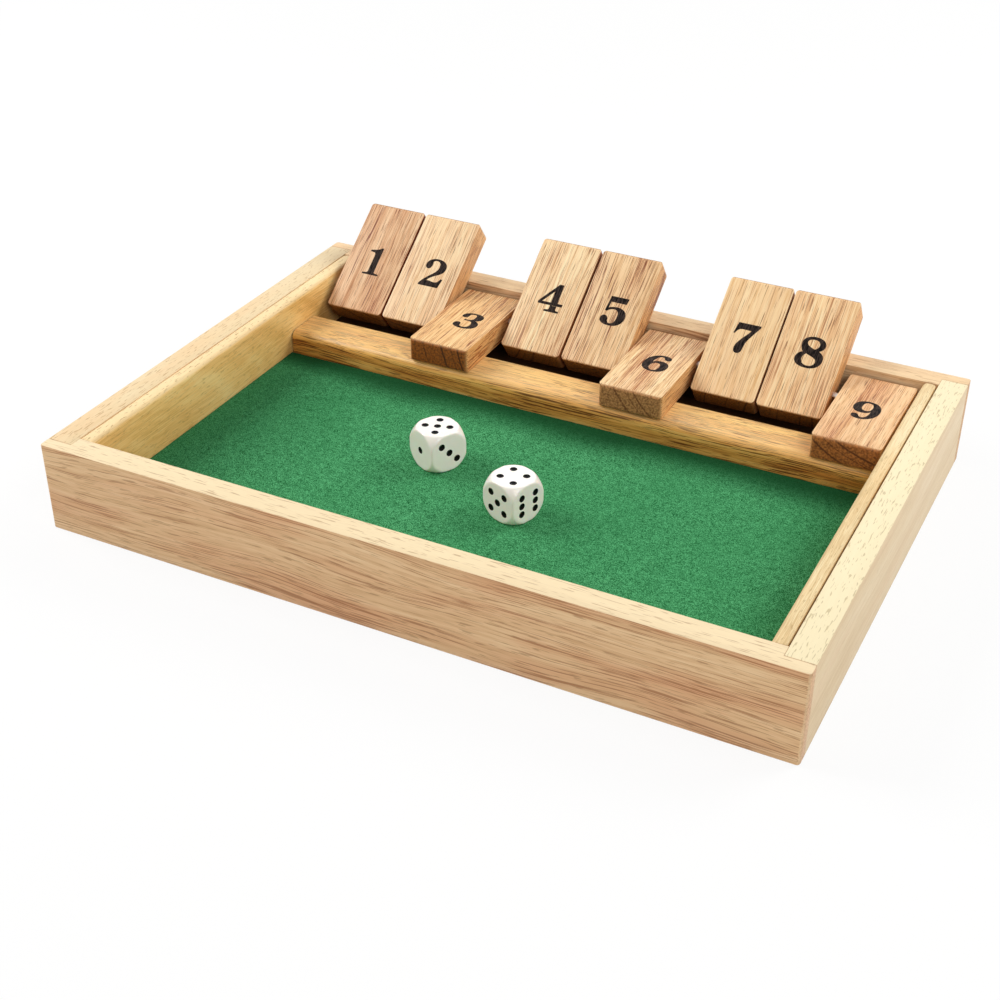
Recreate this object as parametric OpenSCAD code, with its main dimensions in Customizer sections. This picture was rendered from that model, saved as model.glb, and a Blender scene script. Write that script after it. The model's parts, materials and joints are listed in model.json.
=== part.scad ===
// Shut the box game: an open tray lined with felt, nine numbered tiles on one steel rod,
// the stop bar that they fall on, and two dice.
// Millimetres. +X to the right, +Y from the front rail to the back rail, +Z up.
// The origin is on the table, under the middle of the whole object, leaning tiles included.

/* [Case] */
// Width of the case, outside
box_w = 292; // [236:1:360]
// Depth of the case, outside
box_d = 206; // [170:1:260]
// Height of the four boards
box_h = 36; // [30:0.5:50]
// Thickness of the four boards
board_t = 10.3; // [8.5:0.1:13]
// Thickness of the rails' lips, which cover the ends of the side boards
lip_t = 5.2; // [3:0.1:6.5]
// Rounding of the case's four upright corners
corner_r = 1.2; // [0.4:0.1:2.5]

/* [Floor] */
// Thickness of the base panel
panel_t = 4; // [3:0.2:5]
// How far the panel reaches into the groove of each board
panel_seat = 4; // [2:0.2:4.4]
// Thickness of the felt
felt_t = 1; // [0.6:0.1:2]

/* [Liners] */
// Thickness of the strips inside the side boards, which carry the rod
liner_t = 6; // [5:0.1:9]
// Rounding along the top inner edge of a liner
liner_r = 2; // [0.5:0.1:2.5]
// Rounding of a liner's two back corners, seen from above
liner_end_r = 2; // [0.5:0.1:2.4]
// Gap between the back end of a liner and the back rail
liner_gap = 0.8; // [0.2:0.1:2]

/* [Rod] */
// Diameter of the rod
rod_d = 3; // [2:0.1:4]
// How far the rod goes into each liner
rod_seat = 4; // [2:0.2:4.4]

/* [Tiles] */
// Length of a tile
tile_l = 53.8; // [44:0.2:66]
// Thickness of a tile
tile_t = 10.2; // [8:0.1:12.6]
// Distance from the rod's axis to the end of the tile
pivot_end = 14; // [11:0.2:17]
// Distance from the rod's axis to the face that is on top when the tile is down
pivot_face = 4; // [3.2:0.1:5]
// How far the top of a tile that is down lies below the top of the case
tile_drop = 2.5; // [1.5:0.1:4]
// Rounding of the tile's edges, seen from the side
tile_edge_r = 0.8; // [0.3:0.1:1.5]
// Rounding of the tile's corners at its free end, seen from above
tile_free_r = 1; // [0.4:0.1:3]
// Rounding of the tile's corners at its pivot end, seen from above
tile_pivot_r = 2; // [0.4:0.1:4]

/* [Stop bar] */
// Depth of the stop bar, front to back
bar_d = 17.8; // [12:0.2:22]
// Rounding of the bar's top front edge
bar_r = 4.5; // [1:0.5:5]

/* [Dice] */
// Width of a die across its flats
die_s = 16; // [12:0.5:20]
// Diameter of the ball that rounds the corners, as a multiple of the width
die_round = 1.42; // [1.3:0.01:1.6]
// Distance from the middle of a face to the outer pips, along each side
pip_pitch = 3.4; // [2.6:0.1:3.8]
// Radius of a pip at the surface
pip_r = 1.4; // [0.8:0.1:1.5]
// Depth of a pip
pip_depth = 0.5; // [0.2:0.1:0.8]

/* [Clearances] */
// Between the rod and each hole round it, on the radius
rod_play = 0.05; // [0.01:0.01:0.1]
// Between a tile that is down and the back rail
tile_back_gap = 1.7; // [0.8:0.1:3]
// Between a swinging tile end and the base panel
floor_gap = 1.7; // [0.8:0.1:3]
// Under a tile that lies on the bar or leans on the back rail
rest_gap = 0.2; // [0.1:0.05:0.4]
// Round the edges of the felt and the panel
cut_gap = 0.2; // [0.1:0.05:0.5]
// Under a die
die_gap = 0.1; // [0.05:0.05:0.3]

/* [Hidden] */
$fn = 64;

tile_count = 9;
// The free space before each tile along the rod, as they lie, and after the last one
gaps = [2.7, 0.5, 0.9, 2.6, 0.6, 0.6, 2.0, 0.4, 2.4, 1.0];
down_tiles = [3, 6, 9];
// Each die: place from the middle of the case and from the front rail's inner face, its turn,
// and its numbers on the top, on the left front face and on the right front face
dice = [[-28.5, 77.5, -27.9, [5, 1, 3]],
        [13.3, 58.4, -19.3, [4, 5, 6]]];

function total(list, i = 0) = i < len(list) ? list[i] + total(list, i + 1) : 0;

row_w = box_w - 2 * (board_t + liner_t);
tile_w = (row_w - total(gaps)) / tile_count;
function tile_x(n) = -row_w / 2 + total([for (i = [0:n - 1]) gaps[i]]) + (n - 0.5) * tile_w;

// Heights
pivot_z = box_h - tile_drop - pivot_face;
swing_r = norm([pivot_end, tile_t - pivot_face]);
floor_z = pivot_z - swing_r - floor_gap;
felt_z = floor_z + felt_t;
bar_z = pivot_z + pivot_face - tile_t - rest_gap;

// The angle above the horizontal at which a tile's back lies on the back rail's top edge
pivot_back = pivot_end + tile_back_gap;
edge_rise = box_h - pivot_z;
lean = atan2(edge_rise, pivot_back) + asin((pivot_face + rest_gap) / norm([pivot_back, edge_rise]));
function tile_angle(n) = len(search(n, down_tiles)) > 0 ? 180 : lean;

// Places along Y: the leaning tiles reach past the back rail, and the origin is under the middle
free_l = tile_l - pivot_end;
tile_reach = (free_l - tile_edge_r) * cos(lean) + (pivot_face - tile_edge_r) * sin(lean) + tile_edge_r;
overall_d = max(box_d, box_d - board_t - pivot_back + tile_reach);
front_y = -overall_d / 2;
back_y = front_y + box_d;
tray_y = front_y + board_t;
rail_y = back_y - board_t;
pivot_y = rail_y - pivot_back;
bar_y = pivot_y - free_l;

side_x = box_w / 2 - board_t;
groove_t = panel_t + cut_gap;
groove_seat = panel_seat + cut_gap;
past = 1;
pip_ball_r = (pow(pip_r, 2) + pow(pip_depth, 2)) / (2 * pip_depth);

wood = "#d9b27c";
pale_wood = "#e8cf9a";
bar_wood = "#c98f4b";
tile_wood = "#c08a58";
felt_green = "#1f7a45";
steel = "#c9ccd0";
ivory = "#f2efe4";

// A rectangle with round corners, with one radius at its low edge and one at its high edge
module soft_rect(w, h, low_r, high_r) {
  translate([low_r, 0]) square([w - 2 * low_r, h / 2]);
  translate([high_r, h / 2]) square([w - 2 * high_r, h / 2]);
  translate([0, low_r]) square([w, h - low_r - high_r]);
  for (x = [low_r, w - low_r]) translate([x, low_r]) circle(low_r);
  for (x = [high_r, w - high_r]) translate([x, h - high_r]) circle(high_r);
}

// A profile drawn in Y and Z, run along X from x for a width
module along_x(x, w) {
  translate([x, 0, 0]) rotate([90, 0, 90]) linear_extrude(w) children();
}

// A profile drawn in X and Z, run along Y from y for a depth
module along_y(y, d) {
  translate([0, y + d, 0]) rotate([90, 0, 0]) linear_extrude(d) children();
}

// The four boards together, with the groove for the base panel
module case_block() {
  difference() {
    translate([-box_w / 2, front_y, 0]) linear_extrude(box_h) soft_rect(box_w, box_d, corner_r, corner_r);
    translate([-side_x, tray_y, -past]) cube([2 * side_x, rail_y - tray_y, box_h + 2 * past]);
    translate([-side_x - groove_seat, tray_y - groove_seat, floor_z - panel_t - cut_gap / 2])
      cube([2 * (side_x + groove_seat), rail_y - tray_y + 2 * groove_seat, groove_t]);
  }
}

// What a rail takes of the case: its full thickness between the side boards, its lip across their ends
module rail_space(lip_y, full_y) {
  translate([-box_w / 2 - past, lip_y, -past]) cube([box_w + 2 * past, lip_t, box_h + 2 * past]);
  translate([-side_x, full_y, -past]) cube([2 * side_x, board_t, box_h + 2 * past]);
}

module front_rail() {
  color(wood) intersection() {
    case_block();
    rail_space(front_y, front_y);
  }
}

module back_rail() {
  color(wood) intersection() {
    case_block();
    rail_space(back_y - lip_t, rail_y);
  }
}

// side is -1 on the left and 1 on the right
module side_board(side) {
  color(pale_wood) intersection() {
    case_block();
    translate([side * (side_x + box_w / 2 + past) / 2, (front_y + back_y) / 2, box_h / 2])
      cube([board_t + past, box_d - 2 * lip_t, box_h + 2 * past], center = true);
  }
}

module left_side() { side_board(-1); }
module right_side() { side_board(1); }

// The right-hand liner, round along its top inner edge and at its back corners
module liner() {
  end_y = rail_y - liner_gap;
  difference() {
    intersection() {
      translate([side_x - liner_t, tray_y, floor_z]) linear_extrude(box_h - floor_z) liner_plan(end_y - tray_y);
      along_y(tray_y, end_y - tray_y) translate([side_x - liner_t, floor_z]) liner_section();
    }
    translate([side_x - liner_t - past, pivot_y, pivot_z]) rotate([0, 90, 0])
      cylinder(r = rod_d / 2 + rod_play, h = rod_seat + cut_gap + past);
  }
}

module liner_plan(l) {
  square([liner_t, l - liner_end_r]);
  translate([liner_end_r, l - liner_end_r]) square([liner_t - 2 * liner_end_r, liner_end_r]);
  for (x = [liner_end_r, liner_t - liner_end_r]) translate([x, l - liner_end_r]) circle(liner_end_r);
}

module liner_section() {
  h = box_h - floor_z;
  square([liner_t, h - liner_r]);
  translate([liner_r, 0]) square([liner_t - liner_r, h]);
  translate([liner_r, h - liner_r]) circle(liner_r);
}

module left_liner() { color(pale_wood) mirror([1, 0, 0]) liner(); }
module right_liner() { color(pale_wood) liner(); }

module base_panel() {
  color(wood) translate([-side_x - panel_seat, tray_y - panel_seat, floor_z - panel_t])
    cube([2 * (side_x + panel_seat), rail_y - tray_y + 2 * panel_seat, panel_t]);
}

module felt() {
  color(felt_green) translate([-row_w / 2 + cut_gap, tray_y + cut_gap, floor_z])
    cube([row_w - 2 * cut_gap, bar_y - tray_y - 2 * cut_gap, felt_t]);
}

module stop_bar() {
  h = bar_z - floor_z;
  color(bar_wood) along_x(-row_w / 2, row_w) translate([bar_y, floor_z]) {
    square([bar_d, h - bar_r]);
    translate([bar_r, 0]) square([bar_d - bar_r, h]);
    translate([bar_r, h - bar_r]) circle(bar_r);
  }
}

module pivot_rod() {
  color(steel) translate([-row_w / 2 - rod_seat, pivot_y, pivot_z]) rotate([0, 90, 0])
    cylinder(d = rod_d, h = row_w + 2 * rod_seat);
}

// A tile lying along +Y from its pivot end, with the rod's axis at the origin
module tile_blank() {
  difference() {
    intersection() {
      along_x(-tile_w / 2, tile_w) translate([-pivot_end, -pivot_face])
        soft_rect(tile_l, tile_t, tile_edge_r, tile_edge_r);
      translate([-tile_w / 2, -pivot_end, -pivot_face]) linear_extrude(tile_t)
        soft_rect(tile_w, tile_l, tile_pivot_r, tile_free_r);
    }
    translate([-tile_w / 2 - past, 0, 0]) rotate([0, 90, 0])
      cylinder(r = rod_d / 2 + rod_play, h = tile_w + 2 * past);
  }
}

module tile(n) {
  color(tile_wood) translate([tile_x(n), pivot_y, pivot_z]) rotate([tile_angle(n), 0, 0]) tile_blank();
}

// Where the pips of a number sit on its face, in steps of pip_pitch
function pips(n) = concat(
  n % 2 == 1 ? [[0, 0]] : [],
  n > 1 ? [[-1, 1], [1, -1]] : [],
  n > 3 ? [[1, 1], [-1, -1]] : [],
  n == 6 ? [[-1, 0], [1, 0]] : []);

// One number, cut into the top face of a die that is centred on the origin
module pip_cuts(n) {
  for (p = pips(n)) translate([p.x * pip_pitch, p.y * pip_pitch, die_s / 2 - pip_depth + pip_ball_r])
    sphere(pip_ball_r);
}

// faces holds the numbers on the top, left front and right front faces; opposite faces add up to 7
module die(place) {
  faces = place[3];
  color(ivory)
    translate([place[0], tray_y + place[1], felt_z + die_gap + die_s / 2]) rotate([0, 0, place[2]])
      difference() {
        intersection() {
          cube(die_s, center = true);
          sphere(d = die_s * die_round);
        }
        pip_cuts(faces[0]);
        rotate([180, 0, 0]) pip_cuts(7 - faces[0]);
        rotate([90, 0, 0]) pip_cuts(faces[1]);
        rotate([-90, 0, 0]) pip_cuts(7 - faces[1]);
        rotate([90, 0, 90]) pip_cuts(faces[2]);
        rotate([-90, 0, 90]) pip_cuts(7 - faces[2]);
      }
}

front_rail();
back_rail();
left_side();
right_side();
left_liner();
right_liner();
base_panel();
felt();
stop_bar();
pivot_rod();
for (n = [1:tile_count]) tile(n);
for (n = [1, 2]) die(dice[n - 1]);
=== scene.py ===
import json
import math

import bpy
from mathutils import Euler, Matrix, Vector


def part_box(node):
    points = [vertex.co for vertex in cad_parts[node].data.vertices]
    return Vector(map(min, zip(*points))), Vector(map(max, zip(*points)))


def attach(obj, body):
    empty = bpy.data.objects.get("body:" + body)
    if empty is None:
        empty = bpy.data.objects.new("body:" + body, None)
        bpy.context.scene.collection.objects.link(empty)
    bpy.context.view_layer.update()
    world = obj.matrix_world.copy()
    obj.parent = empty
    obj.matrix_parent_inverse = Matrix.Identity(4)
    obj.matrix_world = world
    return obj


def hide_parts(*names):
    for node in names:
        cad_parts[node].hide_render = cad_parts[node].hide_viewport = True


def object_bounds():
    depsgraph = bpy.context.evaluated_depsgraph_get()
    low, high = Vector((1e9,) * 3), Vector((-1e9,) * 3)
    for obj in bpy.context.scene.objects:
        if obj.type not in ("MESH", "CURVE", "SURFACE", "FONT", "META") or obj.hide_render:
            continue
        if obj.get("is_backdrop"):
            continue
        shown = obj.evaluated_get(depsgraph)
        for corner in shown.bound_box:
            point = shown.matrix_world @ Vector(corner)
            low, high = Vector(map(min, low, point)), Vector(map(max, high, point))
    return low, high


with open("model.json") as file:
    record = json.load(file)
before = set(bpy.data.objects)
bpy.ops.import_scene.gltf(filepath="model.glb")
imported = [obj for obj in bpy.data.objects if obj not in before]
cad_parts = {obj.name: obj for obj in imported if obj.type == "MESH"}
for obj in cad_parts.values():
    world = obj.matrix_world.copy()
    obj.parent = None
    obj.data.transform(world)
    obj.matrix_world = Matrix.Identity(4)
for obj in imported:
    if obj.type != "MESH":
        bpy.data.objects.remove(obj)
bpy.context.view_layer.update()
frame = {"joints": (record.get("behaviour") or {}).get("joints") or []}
mm = 0.001
toMillimetres = (1000, 1000, 1000)
close = 0.01 * mm  # two places nearer than this are one
spare = 1 * mm  # what a cutter stands out by


def tone(code):
    # sRGB hex to the linear colour that a shader wants
    parts = [int(code[i:i + 2], 16) / 255 for i in (1, 3, 5)]
    return [c / 12.92 if c <= 0.04045 else ((c + 0.055) / 1.055) ** 2.4 for c in parts] + [1.0]


def addNode(tree, kind, values=None, links=None, **settings):
    node = tree.nodes.new("ShaderNode" + kind)
    for name, value in settings.items():
        setattr(node, name, value)
    for socket, value in (values or {}).items():
        node.inputs[socket].default_value = value
    for socket, source in (links or {}).items():
        tree.links.new(source, node.inputs[socket])
    return node


def newMaterial(name):
    made = bpy.data.materials.new(name)
    made.use_nodes = True
    made.node_tree.nodes.clear()
    return made, made.node_tree


def objectPlace(tree, scale):
    place = addNode(tree, "TexCoord")
    return addNode(tree, "Mapping", {"Scale": scale}, {"Vector": place.outputs["Object"]})


def useNone():
    if bpy.context.mode != "OBJECT":
        bpy.ops.object.mode_set(mode="OBJECT")
    bpy.ops.object.select_all(action="DESELECT")


def useOnly(piece):
    useNone()
    piece.select_set(True)
    bpy.context.view_layer.objects.active = piece


def settle(piece):
    # the place goes into the mesh, and the object stays at the origin
    useOnly(piece)
    bpy.ops.object.transform_apply(location=True, rotation=True, scale=True)
    return piece


def addBlock(name, low, high):
    useNone()
    low, high = Vector(low), Vector(high)
    bpy.ops.mesh.primitive_cube_add(size=1, location=(low + high) / 2, scale=high - low)
    piece = bpy.context.object
    piece.name = name
    piece.data.name = name
    return settle(piece)


def startEdit(piece, kind):
    useOnly(piece)
    bpy.ops.object.mode_set(mode="EDIT")
    bpy.ops.mesh.select_mode(type=kind)
    bpy.ops.mesh.select_all(action="DESELECT")
    bpy.ops.object.mode_set(mode="OBJECT")


def pickFaces(piece, wanted):
    # wanted(centre, normal) says which faces the next operator works on
    startEdit(piece, "FACE")
    for face in piece.data.polygons:
        face.select = wanted(face.center, face.normal)
    bpy.ops.object.mode_set(mode="EDIT")


def pickEdges(piece, wanted):
    # wanted(middle, direction) says which edges the next operator works on
    startEdit(piece, "EDGE")
    points = piece.data.vertices
    for edge in piece.data.edges:
        a, b = (points[i].co for i in edge.vertices)
        edge.select = wanted((a + b) / 2, (b - a).normalized())
    bpy.ops.object.mode_set(mode="EDIT")


def roundEdges(piece, wanted, radius, steps):
    pickEdges(piece, wanted)
    bpy.ops.mesh.bevel(offset=radius, segments=steps, profile=0.5, affect="EDGES")
    bpy.ops.object.mode_set(mode="OBJECT")


def cutAcross(piece, point, normal):
    startEdit(piece, "FACE")
    bpy.ops.object.mode_set(mode="EDIT")
    bpy.ops.mesh.select_all(action="SELECT")
    bpy.ops.mesh.bisect(plane_co=point, plane_no=normal)
    bpy.ops.object.mode_set(mode="OBJECT")


def pullFaces(piece, wanted, move):
    pickFaces(piece, wanted)
    bpy.ops.mesh.extrude_region_move(TRANSFORM_OT_translate={"value": move})
    bpy.ops.object.mode_set(mode="OBJECT")


def applyModifier(piece, kind, **settings):
    useOnly(piece)
    modifier = piece.modifiers.new(kind.lower(), kind)
    for name, value in settings.items():
        setattr(modifier, name, value)
    bpy.ops.object.modifier_apply(modifier=modifier.name)


def combine(piece, other, operation, **settings):
    applyModifier(piece, "BOOLEAN", object=other, operation=operation, solver="EXACT", **settings)
    bpy.data.objects.remove(other)


def easeEdges(piece, width, steps=2, degrees=40):
    applyModifier(piece, "BEVEL", width=width, segments=steps, limit_method="ANGLE",
                  angle_limit=math.radians(degrees))


def smooth(piece, degrees=35):
    useOnly(piece)
    bpy.ops.object.shade_smooth_by_angle(angle=math.radians(degrees))


def tidyNormals(piece):
    startEdit(piece, "VERT")
    bpy.ops.object.mode_set(mode="EDIT")
    bpy.ops.mesh.select_all(action="SELECT")
    bpy.ops.mesh.remove_doubles(threshold=close / 10)
    bpy.ops.mesh.normals_make_consistent(inside=False)
    bpy.ops.object.mode_set(mode="OBJECT")


def boreAlongX(piece, radius, lowX, highX, y, z):
    useNone()
    bpy.ops.mesh.primitive_cylinder_add(vertices=40, radius=radius, depth=highX - lowX,
                                        location=((lowX + highX) / 2, y, z), rotation=(0, math.pi / 2, 0))
    drill = settle(bpy.context.object)
    combine(piece, drill, "DIFFERENCE")


def markFaces(piece, along, side=(0, 0, 1)):
    # red: end grain, green: looking up, blue: eased edge, alpha: looking to the side
    kinds = piece.data.color_attributes.new("faceKind", "FLOAT_COLOR", "CORNER")
    along = Vector(along).normalized()
    side = Vector(side)
    over = side.cross(along)
    for face in piece.data.polygons:
        ends, sides, tops = (abs(face.normal.dot(way)) for way in (along, side, over))
        eased = 1.0 - max(ends, sides, tops)
        value = (ends, max(0.0, face.normal.z), eased if eased > 0.001 else 0.0, sides)
        for corner in face.loop_indices:
            kinds.data[corner].color = value


def finishPiece(piece, material, body, nodes):
    if material:
        piece.data.materials.clear()
        piece.data.materials.append(material)
    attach(piece, body)
    if nodes:
        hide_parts(*nodes)


def woodMaterial(name, look):
    # Sanded rubberwood under satin lacquer: pale, straight grained and open pored. Real vessels are
    # 0.2 mm wide, and are drawn 0.4 to 0.6 mm wide so that they show as short dark dashes. Ends show
    # them as dots, crossed by growth rings.
    made, tree = newMaterial(name)
    place = addNode(tree, "TexCoord")
    turn = Euler([math.radians(a) for a in look["turn"]])
    start = -(turn.to_matrix() @ Vector(look["centre"]))
    grain = addNode(tree, "Mapping", {"Location": start, "Rotation": turn, "Scale": toMillimetres},
                    {"Vector": place.outputs["Object"]})  # now in mm, with X along the grain

    def stretched(source, along, across, detail, roughness=0.5):
        scaled = addNode(tree, "Mapping", {"Location": look["seed"], "Scale": (along, across, across)},
                         {"Vector": source.outputs[0]})
        return addNode(tree, "TexNoise", {"Scale": 1.0, "Detail": detail, "Roughness": roughness},
                       {"Vector": scaled.outputs[0]})

    def layered(below, coats):
        # a coat is where it lies, the two values between which it fades in, how much of it, and its colour
        for where, low, high, most, paint in coats:
            part = addNode(tree, "MapRange", {1: low, 2: high, 4: most}, {0: where})
            mixed = addNode(tree, "Mix", {7: tone(paint)}, {0: part.outputs[0], 6: below},
                            data_type="RGBA")
            below = mixed.outputs[2]
        return below

    drift = stretched(grain, 0.009, 0.03, 1.0)
    bend = addNode(tree, "VectorMath", {1: (0, *look["wander"])},
                   {0: drift.outputs["Color"], 2: grain.outputs[0]}, operation="MULTIPLY_ADD")
    # growth rings round the pith, stretched along the grain so that flat faces show arches
    pith = addNode(tree, "Mapping", {"Location": look["pith"], "Scale": (look["taper"], 1, 1)},
                   {"Vector": bend.outputs[0]})
    radius = addNode(tree, "VectorMath", {}, {0: pith.outputs[0]}, operation="LENGTH")
    rings = addNode(tree, "TexNoise", {"Scale": 1 / look["ringGap"], "Detail": 2.0, "Roughness": 0.6},
                    {"W": radius.outputs["Value"]}, noise_dimensions="1D")
    streaks = stretched(bend, 0.03, 1.0, 3.0, 0.6)  # fibre bundles 1 mm wide and 30 mm long
    lines = stretched(bend, look["lineAlong"], look["lineAcross"], 2.0, 0.6)  # runs of darker vessels
    pores = stretched(bend, look["poreAlong"], look["poreAcross"], 1.0)
    specks = stretched(grain, 0.2, 1.2, 2.0)  # vessels seen end on
    fibres = stretched(grain, 0.12, 4.0, 1.0)
    blotch = stretched(bend, 0.016, 0.1, 2.0)  # broad, soft change of colour along the board
    ringPart = addNode(tree, "Math", {1: look["ringWeight"]}, {0: rings.outputs["Fac"]},
                       operation="MULTIPLY")
    streakPart = addNode(tree, "Math", {1: look["streakWeight"]},
                         {0: streaks.outputs["Fac"], 2: ringPart.outputs[0]}, operation="MULTIPLY_ADD")
    fibrePart = addNode(tree, "Math", {1: look["fibreWeight"]},
                        {0: fibres.outputs["Fac"], 2: streakPart.outputs[0]}, operation="MULTIPLY_ADD")
    centre = (look["ringWeight"] + look["streakWeight"] + look["fibreWeight"]) / 2
    figure = addNode(tree, "MapRange", {1: centre - look["figureSoft"], 2: centre + look["figureSoft"]},
                     {0: fibrePart.outputs[0]})
    ramp = addNode(tree, "ValToRGB", {}, {0: figure.outputs[0]})
    ramp.color_ramp.elements[0].color = tone(look["pale"])
    ramp.color_ramp.elements[0].position = 0.1
    ramp.color_ramp.elements[1].color = tone(look["dark"])
    ramp.color_ramp.elements[1].position = 0.95
    step = ramp.color_ramp.elements.new(0.5)
    step.color = tone(look["middle"])
    kinds = addNode(tree, "Attribute", attribute_name="faceKind")
    kind = addNode(tree, "SeparateColor", {}, {0: kinds.outputs["Color"]})
    endward, upward, eased = kind.outputs[:3]
    sideward = kinds.outputs["Alpha"]
    # the lines crowd together in some bands and leave others plain
    crowded = addNode(tree, "Math", {1: 0.3}, {0: blotch.outputs["Fac"], 2: lines.outputs["Fac"]},
                      operation="MULTIPLY_ADD")
    onSides = addNode(tree, "Math", {1: look["sideLines"]}, {0: sideward, 2: crowded.outputs[0]},
                      operation="MULTIPLY_ADD")
    lineFrom = look["lineFrom"] + 0.15
    lineFull = lineFrom + look["lineSoft"]
    lined = layered(ramp.outputs[0], [
        (blotch.outputs["Fac"], 0.45, 0.7, look["redness"], look["red"]),
        # the tiles' long sides take the side colour: their own sawn tone, darker and warmer with painted
        # shade
        (sideward, 0.5, 1.0, look["sideToneAndShadePart"], look["side"]),
        (onSides.outputs[0], lineFrom, lineFull, look["lineDepth"], look["line"]),
        # faces that look up take the top colour: the paler sanded tops, with painted light added for how
        # brightly they are lit
        (upward, 0.5, 1.0, look["sandedAndLitTopPart"], look["top"]),
    ])
    openPores = addNode(tree, "MapRange", {1: look["poreFrom"], 2: look["poreFrom"] + 0.06,
                                           4: look["poreDepth"]}, {0: pores.outputs["Fac"]})
    shown = addNode(tree, "MapRange", {1: 0.5, 2: 1.0, 3: look["poreBelow"]}, {0: upward})
    porePart = addNode(tree, "Math", {}, {0: openPores.outputs[0], 1: shown.outputs[0]},
                       operation="MULTIPLY")
    pored = addNode(tree, "Mix", {7: tone(look["pore"])}, {0: porePart.outputs[0], 6: lined},
                    data_type="RGBA")
    # end grain drinks the lacquer and goes brown, with the rings as darker lines
    ringLine = addNode(tree, "MapRange", {1: 0.6, 2: 0.68, 4: look["endRings"]}, {0: rings.outputs["Fac"]})
    speckle = addNode(tree, "Math", {1: 1.6}, {0: specks.outputs["Fac"], 2: ringLine.outputs[0]},
                      operation="MULTIPLY_ADD")
    endFigure = addNode(tree, "MapRange", {1: 0.58, 2: 1.15}, {0: speckle.outputs[0]})
    endRamp = addNode(tree, "ValToRGB", {}, {0: endFigure.outputs[0]})
    endRamp.color_ramp.elements[0].color = tone(look["endPale"])
    endRamp.color_ramp.elements[1].color = tone(look["endDark"])
    endPart = addNode(tree, "MapRange", {1: 0.4, 2: 0.75, 4: look["endPart"]}, {0: endward})
    ended = addNode(tree, "Mix", {}, {0: endPart.outputs[0], 6: pored.outputs[2], 7: endRamp.outputs[0]},
                    data_type="RGBA")
    # painted highlight and shade: eased edges take the edge colour, paler on the case and bar where they
    # catch the light, darker on the tiles to shade the gaps between them
    colour = layered(ended.outputs[2], [(eased, 0.0, 0.3, look["paintedEdgePart"], look["edge"])])
    gloss = addNode(tree, "MapRange", {3: look["roughness"], 4: look["roughness"] + 0.2},
                    {0: figure.outputs[0]})
    # open grain 0.06 mm deep under the lacquer
    relief = addNode(tree, "Math", {1: -0.6}, {0: porePart.outputs[0], 2: fibres.outputs["Fac"]},
                     operation="MULTIPLY_ADD")
    bump = addNode(tree, "Bump", {"Strength": look["bump"], "Distance": 0.06 * mm},
                   {"Height": relief.outputs[0]})
    shader = addNode(tree, "BsdfPrincipled", {"IOR": 1.5, "Specular IOR Level": 0.3,
                                              "Coat Weight": look["coat"], "Coat Roughness": 0.35},
                     {"Base Color": colour, "Roughness": gloss.outputs[0], "Normal": bump.outputs[0]})
    addNode(tree, "OutputMaterial", {}, {"Surface": shader.outputs[0]})
    return made


# turn and centre bring a board's grain on to X with its middle at the origin, in degrees and mm
caseLook = {
    "turn": (0, 0, 0), "centre": (0, -107, 18), "seed": (0, 0, 0), "wander": (2.0, 12.0),
    "pith": (0, 30, -46), "taper": 0.05, "ringGap": 5.0, "ringWeight": 0.5, "streakWeight": 0.6,
    "fibreWeight": 0.3, "figureSoft": 0.25, "sideLines": 0.0, "pale": "#ebcb9f", "middle": "#e0ba8c",
    "dark": "#c69a6e", "red": "#d69d73", "redness": 0.6, "side": "#e3ba8c", "sideToneAndShadePart": 0.0,
    "top": "#f1deb7", "sandedAndLitTopPart": 0.86, "lineAlong": 0.026, "lineAcross": 2.3, "line": "#985e32",
    "lineFrom": 0.558, "lineSoft": 0.06, "lineDepth": 0.7, "pore": "#96683f", "poreFrom": 0.62,
    "poreDepth": 0.5, "poreAlong": 0.12, "poreAcross": 1.9, "poreBelow": 1.0, "endRings": 0.4,
    "endPale": "#d8b088", "endDark": "#a67e5a", "endPart": 0.8, "edge": "#f0dcb0", "paintedEdgePart": 0.35,
    "roughness": 0.45, "bump": 0.35, "coat": 0.05,
}
backLook = {
    **caseLook, "centre": (0, 94, 18), "seed": (3.3, 5.2, 9.4), "pale": "#f2d4a5", "middle": "#e2be91",
    "dark": "#bf9466", "top": "#f3d6ab", "sandedAndLitTopPart": 0.66,
}
sideLook = {
    **caseLook, "turn": (0, 0, -90), "centre": (141, 0, 18), "seed": (4.1, 1.7, 7.3),
    "pith": (0, -60, 20), "pale": "#e6d5b6", "middle": "#dcc6a2", "dark": "#ceb48e", "red": "#dcbf9d",
    "redness": 0.25, "top": "#f9edc6", "sandedAndLitTopPart": 0.75, "ringWeight": 0.25, "streakWeight": 0.45,
    "figureSoft": 0.28, "line": "#cdaa78", "lineDepth": 0.2, "pore": "#9c8350", "poreFrom": 0.61,
    "poreDepth": 0.45, "poreAlong": 0.24, "poreAcross": 1.7, "poreBelow": 0.25,
}
leftLook = {
    **sideLook, "centre": (-141, 0, 18), "seed": (8.6, 3.1, 2.2), "top": "#f3ddb0", "sandedAndLitTopPart": 0.5,
    "red": "#e4b283", "redness": 0.7, "lineDepth": 0.5, "pore": "#a87c48", "poreDepth": 0.5,
}

caseShape = {
    "cornerRadius": 1.2 * mm, "ease": 0.25 * mm, "lip": 5.2 * mm, "grooveClear": 0.1 * mm,
    "grooveExtra": 0.2 * mm, "seam": 0.1 * mm,
}
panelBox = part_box("base_panel")
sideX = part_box("right_side")[0].x
grooveLow = panelBox[0].z - caseShape["grooveClear"]
grooveHigh = panelBox[1].z + caseShape["grooveClear"]
grooveDeep = panelBox[1].x - sideX + caseShape["grooveExtra"]


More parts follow.
